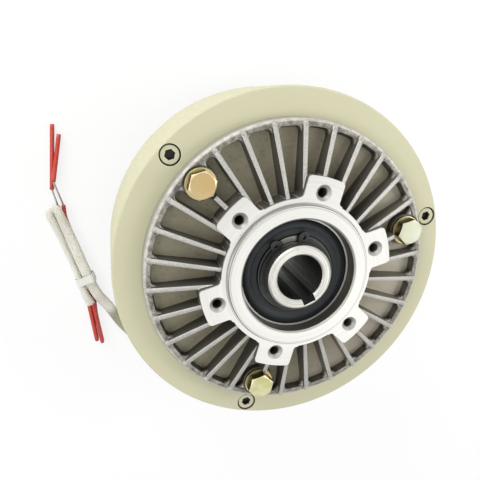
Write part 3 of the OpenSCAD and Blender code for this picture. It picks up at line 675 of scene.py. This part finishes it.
def turned_silver(shade, streaks, sloped, wall, open_air):
    """Colour of turned faces: nicks, tool rings, specks, painted shade in corners and seat, fine lines at the
    pilot.
    """
    radius = shade.from_axis()
    silver = shade.mix(streaks, (182, 181, 176), (208, 207, 202))
    silver = shade.tint(silver, shade.step(shade.noise(520, 4, 0.7), 0.60, 0.74), 0.14, (133, 131, 126))
    tool_rings = shade.noise(1.0, 3.0, 0.7, at=shade.vector(shade.math("DIVIDE", radius, 0.0005), 0.0, 0.0))
    silver = shade.tint(silver, shade.step(tool_rings, 0.52, 0.72), 0.24, (126, 125, 121))
    silver = shade.tint(silver, shade.specks(120, 0.055), 0.45, (106, 103, 95))
    # Darker in the corners of the turned faces: painted shade
    silver = shade.tint(silver, shade.step(open_air, 0.62, 0.25), 0.5, (81, 80, 77))
    silver = shade.mix(sloped, silver, (164, 164, 158))
    # Seat wall dark: painted shade
    silver = shade.mix(wall, silver, (76, 73, 64))
    for line in (PILOT_RADIUS - 0.0012, PILOT_RADIUS - 0.0003, PILOT_RADIUS + 0.0006):
        off = shade.math("ABSOLUTE", shade.math("SUBTRACT", radius, line))
        silver = shade.tint(silver, shade.step(off, 0.00022, 0.00008), 0.55, (85, 84, 79))
    return silver


def cast_aluminium(name):
    """Sand-blasted casting with rubbed edges and painted highlights, painted shade, and turned faces on the
    hub.
    """
    shade = Shade(name)
    radius, height, facing = shade.from_axis(), shade.above_drum(), shade.facing()
    top = shade.both(shade.step(facing, 0.75, 0.92), shade.step(height, CREST_LEVEL, CREST_LEVEL + 0.0010))
    sloped = shade.both(shade.step(facing, 0.40, 0.55), shade.step(facing, 0.88, 0.80))
    countersunk = shade.both(sloped, shade.step(height, COUNTERSINK_LEVEL, COUNTERSINK_LEVEL + 0.0006))
    turned = shade.math("MAXIMUM", shade.step(height, HUB_FACE - 0.0003, HUB_FACE - 0.0001),
                        shade.step(radius, SEAT_RADIUS + 0.0012, SEAT_RADIUS + 0.0010))
    turned = shade.math("MAXIMUM", turned, countersunk)
    wall = shade.both(shade.step(radius, SEAT_RADIUS + 0.0005, SEAT_RADIUS + 0.0003),
                      shade.step(facing, 0.5, 0.3))
    skin = shade.noise(1500, 2)
    streaks = shade.turning(0.00045)
    open_air = shade.crevice(0.007)
    base = shade.mix(turned, cast_skin(shade, top, skin, open_air),
                     turned_silver(shade, streaks, sloped, wall, open_air))
    rough = shade.blend(turned, shade.blend(top, 0.62, 0.54), shade.blend(sloped, 0.32, 0.55))
    blasted = shade.bump(skin, 0.00012, 0.8, shade.rounded(0.0014))
    lumps = shade.bump(shade.noise(260, 2), 0.0002, 0.35, blasted)
    grooves = shade.bump(streaks, 0.00002, 0.6)
    normal = shade.node("ShaderNodeMix", {0: turned, 4: lumps, 5: grooves}, data_type="VECTOR").outputs[1]
    metal = shade.blend(wall, shade.blend(turned, 0.50, 1.0), 0.35)
    return shade.done(base, rough, normal, Metallic=metal)


def yellow_zinc(name):
    """Yellow chromated zinc with a faint play of colours, and its own tint on each bolt."""
    shade = Shade(name, metallic=0.9)
    x, y, _ = shade.parts(shade.place)
    facing = shade.facing()
    warm_side = shade.step(x, 0.0, 0.04)
    drift = shade.step(shade.noise(55, 2, distortion=0.6), 0.35, 0.65)
    warm = shade.mix(drift, (183, 158, 112), (192, 180, 131))
    green = shade.mix(drift, (174, 171, 122), (190, 190, 151))
    white = shade.mix(drift, (164, 164, 137), (180, 182, 164))
    base = shade.mix(shade.step(y, -0.02, 0.02), white, green)
    base = shade.mix(warm_side, base, warm)
    # Lighter on the chamfer round each head: a painted highlight
    chamfer = shade.both(shade.step(facing, 0.78, 0.84), shade.step(facing, 0.96, 0.92))
    base = shade.tint(base, chamfer, 0.45, (223, 217, 192))
    # Side facets nearly black: painted shade and a painted dark reflection
    flank = shade.step(facing, 0.5, 0.3)
    base = shade.tint(base, flank, 0.94, shade.mix(warm_side, (45, 41, 15), (33, 26, 12)))
    base = shade.tint(base, shade.step(shade.noise(130, 2), 0.56, 0.70), 0.4, (192, 164, 133))
    # Washer tops in a lighter yellow: their own tint, partly painted light against the shade of the heads
    washer = shade.both(shade.step(shade.above_drum(), WASHER_TOP + 0.0006, WASHER_TOP + 0.0002),
                        shade.blend(flank, 0.75, 0.0))
    base = shade.mix(washer, base, (223, 205, 142))
    # Lighter along the edges: a painted highlight
    base = shade.tint(base, shade.edge(0.0004), 0.5, (219, 214, 189))
    # Dark under the heads and in corners: painted shade
    under_head = shade.both(shade.step(shade.crevice(0.004), 0.75, 0.25), shade.blend(flank, 0.15, 0.75))
    base = shade.mix(under_head, base, (61, 49, 24))
    rough = shade.blend(shade.noise(300, 3), 0.36, 0.48)
    return shade.done(base, rough, shade.bump(shade.noise(500, 2), 0.00002, 0.2))


def turned_steel(name, dark, light, low_rough, high_rough, metallic=1.0):
    """Steel turned or ground about the shaft axis."""
    shade = Shade(name, metallic=metallic)
    streaks = shade.turning(TURNING_PITCH)
    base = shade.mix(streaks, dark, light)
    base = shade.tint(base, shade.step(shade.noise(45, 3), 0.55, 0.75), 0.25, (150, 140, 120))
    # Lighter along the edges: a painted highlight
    base = shade.tint(base, shade.edge(0.0004), 0.5, (244, 244, 242))
    rough = shade.blend(streaks, low_rough, high_rough)
    return shade.done(base, rough, shade.bump(streaks, 0.00002, 0.5))


def covered_race(name):
    """Race in a dark tone painted as the shadow of the circlip that covers it, lighter where the circlip is
    open.
    """
    shade = Shade(name, metallic=0.7)
    x, y = shade.outward()
    toward = shade.math("ADD", shade.math("MULTIPLY", x, math.cos(CIRCLIP_TURN)),
                        shade.math("MULTIPLY", y, math.sin(CIRCLIP_TURN)))
    # Dark away from the opening of the circlip: a painted shadow of the circlip
    opening = shade.step(toward, math.cos(CIRCLIP_OPENING * 0.85), math.cos(CIRCLIP_OPENING * 0.6))
    streaks = shade.turning(TURNING_PITCH)
    base = shade.mix(streaks, (50, 52, 52), (76, 78, 78))
    base = shade.mix(opening, base, (130, 128, 119))
    return shade.done(base, shade.blend(streaks, 0.30, 0.42), shade.bump(streaks, 0.00002, 0.5))


def shaft_turned_steel(name):
    """Bright turned steel of the shaft, darker on its round wall and inside its bore, with painted
    reflections in the bore.
    """
    shade = Shade(name, metallic=1.0)
    round_wall = shade.step(shade.facing(), 0.35, 0.20)
    streaks = shade.turning(TURNING_PITCH)
    bright = shade.mix(shade.step(streaks, 0.30, 0.70), (157, 156, 149), (212, 211, 205))
    bright = shade.tint(bright, shade.step(shade.noise(380, 4, 0.65), 0.58, 0.72), 0.4, (119, 117, 98))
    # Lighter along the edges: a painted highlight
    bright = shade.tint(bright, shade.edge(0.0004), 0.25, (227, 227, 224))
    bright = shade.tint(bright, round_wall, 0.6, (64, 66, 68))
    dark = shade.mix(shade.noise(400, 3), (102, 103, 101), (130, 131, 128))
    # Light streaks along the bore: painted reflections
    stretch = zip(shade.parts(shade.place), (1400.0, 1400.0, 30.0))
    streak_place = shade.vector(*(shade.math("MULTIPLY", part, scale) for part, scale in stretch))
    painted_reflections = shade.step(shade.noise(1.0, 3.0, 0.6, at=streak_place), 0.50, 0.68)
    dark = shade.tint(dark, painted_reflections, 0.55, (190, 191, 190))
    bore = shade.both(shade.step(shade.from_axis(), BORE_RADIUS + 0.0046, BORE_RADIUS + 0.0040), round_wall)
    rough = shade.blend(bore, shade.blend(streaks, 0.42, 0.54), 0.36)
    return shade.done(shade.mix(bore, bright, dark), rough, shade.bump(streaks, 0.00001, 0.4))


def black_steel(name):
    """Phosphated spring steel, dark with grey edges that are partly rubbed and partly a painted highlight."""
    shade = Shade(name, metallic=0.6)
    base = shade.mix(shade.noise(300, 3), (30, 30, 30), (52, 52, 50))
    # Grey along the edges: partly rubbed, partly a painted highlight
    base = shade.tint(base, shade.edge(0.0003), 0.75, (110, 110, 112))
    rough = shade.blend(shade.noise(500, 2), 0.34, 0.48)
    return shade.done(base, rough, shade.bump(shade.noise(1400, 2), 0.00003, 0.5))


def seal_rubber(name):
    """Blue-black moulded rubber with a little dust."""
    shade = Shade(name, specular=0.3)
    base = shade.mix(shade.noise(60, 3), (24, 27, 28), (38, 42, 44))
    base = shade.tint(base, shade.step(shade.noise(700, 3), 0.60, 0.78), 0.25, (84, 86, 88))
    # Near black in the corners: painted shade
    base = shade.tint(base, shade.step(shade.crevice(0.002), 0.75, 0.35), 0.8, (9, 10, 11))
    rough = shade.blend(shade.noise(180, 2), 0.42, 0.56)
    return shade.done(base, rough, shade.bump(shade.noise(1800, 2), 0.00002, 0.5))


def plain_detail(name, dark, light, scale, rough, metallic=0.0, depth=0.00003):
    """Surface with fine mottling, for pieces inside the housing and small trim."""
    shade = Shade(name, metallic=metallic)
    spots = shade.noise(scale, 3)
    relief = shade.bump(shade.noise(scale * 4, 2), depth, 0.6)
    return shade.done(shade.mix(spots, dark, light), shade.blend(spots, rough, rough + 0.12), relief)


def copper_winding(name):
    """Enamelled wire laid in turns about the shaft axis."""
    shade = Shade(name, metallic=0.9, coat=0.4)
    height = shade.parts(shade.place)[2]
    winding = shade.math("SINE", shade.math("MULTIPLY", height, 2 * math.pi / COIL_PITCH))
    base = shade.mix(shade.step(winding, -1.0, 1.0), (120, 58, 28), (206, 122, 74))
    return shade.done(base, 0.34, shade.bump(winding, 0.0002, 0.8))


def woven_sleeve(name):
    """Braided glass sleeving: two sets of slanting threads, off-white, with a painted olive shadow near the
    drum.
    """
    shade = Shade(name, sheen=0.25)
    u, v, _ = shade.parts(shade.uv)
    across = shade.math("MULTIPLY", u, 2 * math.pi * SLEEVE_THREADS)
    along = shade.math("MULTIPLY", v, 2 * math.pi / THREAD_PITCH)
    right = shade.math("SINE", shade.math("ADD", across, along))
    left = shade.math("SINE", shade.math("SUBTRACT", across, along))
    threads = shade.math("MAXIMUM", right, left)
    fibre = shade.noise(2200, 2)
    base = shade.mix(shade.step(threads, -0.6, 0.8), (206, 203, 190), (241, 239, 229))
    base = shade.tint(base, fibre, 0.18, (200, 192, 176))
    base = shade.tint(base, shade.step(shade.noise(90, 3), 0.52, 0.75), 0.30, (196, 184, 160))
    base = shade.tint(base, shade.specks(150, 0.11), 0.6, (172, 104, 82))
    # Darker olive near the drum: a painted shadow
    painted_shadow = shade.step(v, SLEEVE_SHADOWED + 0.004, SLEEVE_SHADOWED - 0.004)
    base = shade.tint(base, painted_shadow, 0.80, (122, 119, 86))
    raised = shade.bump(threads, 0.00016, 0.8)
    return shade.done(base, 0.82, shade.bump(fibre, 0.00005, 0.5, raised))


def red_insulation(name):
    """Red silicone insulation with chalky dust."""
    shade = Shade(name)
    base = shade.mix(shade.noise(240, 3), (176, 51, 40), (196, 69, 56))
    dust = shade.math("MULTIPLY", shade.step(shade.noise(600, 3), 0.55, 0.80), 0.28)
    base = shade.mix(dust, base, (212, 124, 112))
    rough = shade.blend(dust, 0.38, 0.60)
    return shade.done(base, rough, shade.bump(shade.noise(1500, 2), 0.00003, 0.5))


MATERIALS = {
    "cream_paint": cream_paint("cream_paint"),
    "cream_screw": cream_paint("cream_screw", sockets=True),
    "cast_aluminium": cast_aluminium("cast_aluminium"),
    "yellow_zinc": yellow_zinc("yellow_zinc"),
    "bright_steel": turned_steel("bright_steel", (186, 184, 180), (226, 225, 222), 0.24, 0.36),
    "race_steel": turned_steel("race_steel", (166, 165, 161), (202, 201, 197), 0.30, 0.42, metallic=0.4),
    "shaft_steel": shaft_turned_steel("shaft_steel"),
    "oiled_race": covered_race("oiled_race"),
    "steel": turned_steel("steel", (150, 149, 147), (186, 185, 183), 0.30, 0.42),
    "black_steel": black_steel("black_steel"),
    "seal_rubber": seal_rubber("seal_rubber"),
    "black_plastic": plain_detail("black_plastic", (24, 24, 25), (40, 40, 42), 400, 0.45),
    "copper": copper_winding("copper"),
    "iron_powder": plain_detail("iron_powder", (44, 43, 42), (84, 82, 80), 2500, 0.70, 0.5, 0.0001),
    "felt": plain_detail("felt", (112, 106, 94), (168, 162, 150), 1800, 0.88, 0.0, 0.0001),
    "woven_sleeve": woven_sleeve("woven_sleeve"),
    "red_insulation": red_insulation("red_insulation"),
    "white_band": plain_detail("white_band", (216, 217, 210), (234, 234, 229), 300, 0.46),
    "tinned_copper": plain_detail("tinned_copper", (150, 146, 140), (206, 203, 198), 700, 0.28, 1.0),
}


def on_both_sides(values):
    """Values by the names of front and rear nodes, from values by the rest of those names."""
    return {side + "_" + rest: value for side in SIDES for rest, value in values.items()}


# Finish of each solid
NODE_MATERIALS = {
    "yoke_screws": "cream_screw", "coil_bobbin": "black_plastic", "coil_winding": "copper",
    "pole_spacer": "steel", "powder_ring": "iron_powder",
    "shaft": "shaft_steel", "rotor_drum": "steel", "rotor_key": "steel",
    "lead_grommet": "black_plastic", "lead_tie": "white_band", "lead_sleeve": "woven_sleeve",
    "lead_wire_a": "red_insulation", "lead_wire_b": "red_insulation",
    "lead_strands": "tinned_copper", "lead_slugs": "red_insulation",
    **on_both_sides({
        "yoke": "cream_paint", "cover": "cast_aluminium",
        "cover_bolts": "yellow_zinc", "cover_washers": "yellow_zinc",
        "bearing_outer_race": "race_steel", "bearing_inner_race": "oiled_race",
        "bearing_balls": "bright_steel", "bearing_cage": "steel", "bearing_seals": "seal_rubber",
        "seal_plate": "steel", "shaft_seal": "felt", "circlip": "black_steel"}),
}
for node_name, finish in NODE_MATERIALS.items():
    for slot in nodes[node_name].material_slots:
        slot.material = MATERIALS[finish]

# Rounded edges that catch the light, on the solids that show
EDGE_RADII = {
    "yoke_screws": 0.00025,
    **on_both_sides({"cover": 0.00035, "cover_bolts": 0.00025, "cover_washers": 0.00015, "circlip": 0.00015}),
}
for node_name, edge_radius in EDGE_RADII.items():
    weld = nodes[node_name].modifiers.new("weld", "WELD")
    weld.merge_threshold = WELD_REACH
    edge = nodes[node_name].modifiers.new("edge", "BEVEL")
    edge.width = edge_radius
    edge.segments = EDGE_SEGMENTS
    edge.limit_method = "ANGLE"
    edge.angle_limit = EDGE_ANGLE
    edge.harden_normals = True


def add_object(name, data):
    """New object in the scene."""
    thing = bpy.data.objects.new(name, data)
    bpy.context.scene.collection.objects.link(thing)
    return thing


def add_piece(name, shape, finish):
    """New piece that rides on the housing, in the material of a finish."""
    shape.materials.append(MATERIALS[finish])
    piece = add_object(name, shape)
    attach(piece, "housing")
    return piece


# Rounded noses of the fins and hollow corners of the pockets
for cover, up in SIDES.items():
    drum_face = MID_HEIGHT + up * HALF_DRUM
    for name, mesh_of in ((cover + "_fin_noses", fin_noses), (cover + "_pocket_fillets", pocket_fillets)):
        add_piece(name, mesh_of(name, drum_face, up), "cast_aluminium")

# Moulded rubber seals: a raised outer band, a step down and a lip at the inner race
for cover, up in SIDES.items():
    outlines = []
    for face, inward in ((BEARING_FACE, -1), (BEARING_FACE - BEARING_WIDTH, 1)):
        levels = [(r, face + inward * (SEAL_SINK + depth)) for r, depth in SEAL_OUTLINE]
        outlines.append([(r, MID_HEIGHT + up * z) for r, z in levels])
    name = cover + "_moulded_seals"
    seals = add_piece(name, lathe_mesh(name, outlines, SEAL_SEGMENTS), "seal_rubber")
    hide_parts(cover + "_bearing_seals")

# Lead: sleeve, two wires, their bare strands and the slugs of insulation left on the strands
sleeve_path = smooth_path(metres(SLEEVE_ROUTE))
stand = spread(SLEEVE_STAND)
swing = SLEEVE_WIDTH - SLEEVE_THICKNESS
sleeve_widths = [SLEEVE_WIDTH - swing * share for share in stand]
sleeve_heights = [SLEEVE_THICKNESS + swing * share for share in stand]
sleeve_mesh = tube_mesh("sleeve_braid", sleeve_path, sleeve_widths, sleeve_heights, SLEEVE_SIDES,
                        SLEEVE_MOUTH, SLEEVE_FULLNESS)
sleeve = add_piece("sleeve_braid", sleeve_mesh, "woven_sleeve")
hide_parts("lead_sleeve")

slug_runs = [metres(SLUG_A), metres(SLUG_B)]
wire_ends = [metres(WIRE_A_ROUTE)[-1], metres(WIRE_B_ROUTE)[-1]]
strand_runs = [(end, run[0]) for end, run in zip(wire_ends, slug_runs)]
strands = add_piece("bare_strands", strand_curve("bare_strands", strand_runs), "tinned_copper")
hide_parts("lead_strands")
slugs = add_piece("insulation_slugs", slug_mesh("insulation_slugs", slug_runs), "red_insulation")
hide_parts("lead_slugs")

for letter, route, pieces in (("a", WIRE_A_ROUTE, [strands, slugs]), ("b", WIRE_B_ROUTE, [])):
    wire_path = smooth_path(metres(route))
    wire_name = "red_wire_" + letter
    wire = add_piece(wire_name, wire_mesh(wire_name, wire_path, WIRE_MOUTH), "red_insulation")
    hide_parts("lead_wire_" + letter)


def seen_rays(tree):
    """1 for what the camera sees directly, in a reflection or through glass, and 0 for other light."""
    rays = tree.nodes.new("ShaderNodeLightPath").outputs
    seen = rays["Is Camera Ray"]
    for ray in ("Is Glossy Ray", "Is Transmission Ray"):
        seen = add_node(tree, "ShaderNodeMath", {0: seen, 1: rays[ray]}, operation="MAXIMUM").outputs[0]
    return seen


def blend_shaders(tree, amount, first, second, output):
    """Output that shows the first shader where the amount is 0 and the second where it is 1."""
    shaders = {0: amount, 1: first.outputs[0], 2: second.outputs[0]}
    blended = add_node(tree, "ShaderNodeMixShader", shaders)
    add_node(tree, output, {"Surface": blended.outputs[0]})


def empty_tree(block):
    """Cleared node tree of a material or world."""
    block.use_nodes = True
    block.node_tree.nodes.clear()
    return block.node_tree


# Stage: pale floor that shows almost white where it is seen and keeps a soft shadow
floor_grid = bmesh.new()
bmesh.ops.create_grid(floor_grid, x_segments=1, y_segments=1, size=FLOOR_SIZE)
bmesh.ops.translate(floor_grid, verts=floor_grid.verts, vec=(0, 0, -FLOOR_DROP))
floor = add_object("floor", mesh_from(floor_grid, "floor"))

floor_material = bpy.data.materials.new("pale_floor")
floor.data.materials.append(floor_material)
floor_tree = empty_tree(floor_material)
matt = add_node(floor_tree, "ShaderNodeBsdfDiffuse", {"Color": (0.88, 0.88, 0.87, 1)})
glow = add_node(floor_tree, "ShaderNodeEmission", {"Strength": 1.0})
glow_share = add_node(floor_tree, "ShaderNodeMath", {0: seen_rays(floor_tree), 1: FLOOR_GLOW},
                      operation="MULTIPLY")
blend_shaders(floor_tree, glow_share.outputs[0], matt, glow, "ShaderNodeOutputMaterial")

# World: soft sky, brighter on the side of the lead, and white where it is seen or reflected
world = bpy.data.worlds.new("studio")
bpy.context.scene.world = world
world_tree = empty_tree(world)
direction = world_tree.nodes.new("ShaderNodeTexCoord")
compass = add_node(world_tree, "ShaderNodeSeparateXYZ", {0: direction.outputs["Generated"]})
sky_strength = add_node(world_tree, "ShaderNodeMapRange", {
    "Value": compass.outputs["Y"], "From Min": -SKY_CHANGE, "From Max": SKY_CHANGE,
    "To Min": SKY_DIM, "To Max": SKY_BRIGHT}, interpolation_type="SMOOTHSTEP")
sky = add_node(world_tree, "ShaderNodeBackground",
               {"Color": (0.97, 0.98, 1.0, 1), "Strength": sky_strength.outputs["Result"]})
backdrop = add_node(world_tree, "ShaderNodeBackground", {"Color": (1, 1, 1, 1), "Strength": 1.0})
blend_shaders(world_tree, seen_rays(world_tree), sky, backdrop, "ShaderNodeOutputWorld")


def soft_light(name, place, width, height, power, target=LIGHT_TARGET):
    """Rectangular soft light turned to its target."""
    lamp = bpy.data.lights.new(name, "AREA")
    lamp.shape = "RECTANGLE"
    lamp.size = width
    lamp.size_y = height
    lamp.energy = power
    holder = add_object(name, lamp)
    holder.location = place
    holder.rotation_euler = (Vector(target) - Vector(place)).to_track_quat("-Z", "Y").to_euler()


soft_light("softbox_back", (-0.60, 0.14, 1.12), 0.7, 0.7, 1.3)
soft_light("softbox_high", (-0.75, -0.26, 0.85), 0.6, 0.6, 0.65)
soft_light("softbox_right", (-0.30, -0.42, 0.45), 0.3, 0.3, 1.55)
soft_light("softbox_top", (0.12, -0.68, 0.45), 0.4, 0.4, 0.5)
soft_light("softbox_front", (1.06, -0.28, 0.36), 0.8, 0.5, 8.8)
soft_light("softbox_left", (0.32, 0.40, 0.55), 0.3, 0.3, 1.15, target=(-0.01, 0.03, 0.08))

camera_data = bpy.data.cameras.new("camera")
camera_data.sensor_width = 36
camera_data.lens = LENS
camera_data.shift_x, camera_data.shift_y = SHIFT
camera_data.clip_start = 0.01
camera = add_object("camera", camera_data)
backward = (EYE - AIM).normalized()
rightward = UP.cross(backward).normalized()
upward = backward.cross(rightward)
camera.matrix_world = Matrix.Translation(EYE) @ Matrix((rightward, upward, backward)).transposed().to_4x4()
bpy.context.scene.camera = camera
bpy.context.scene.view_settings.view_transform = "Standard"
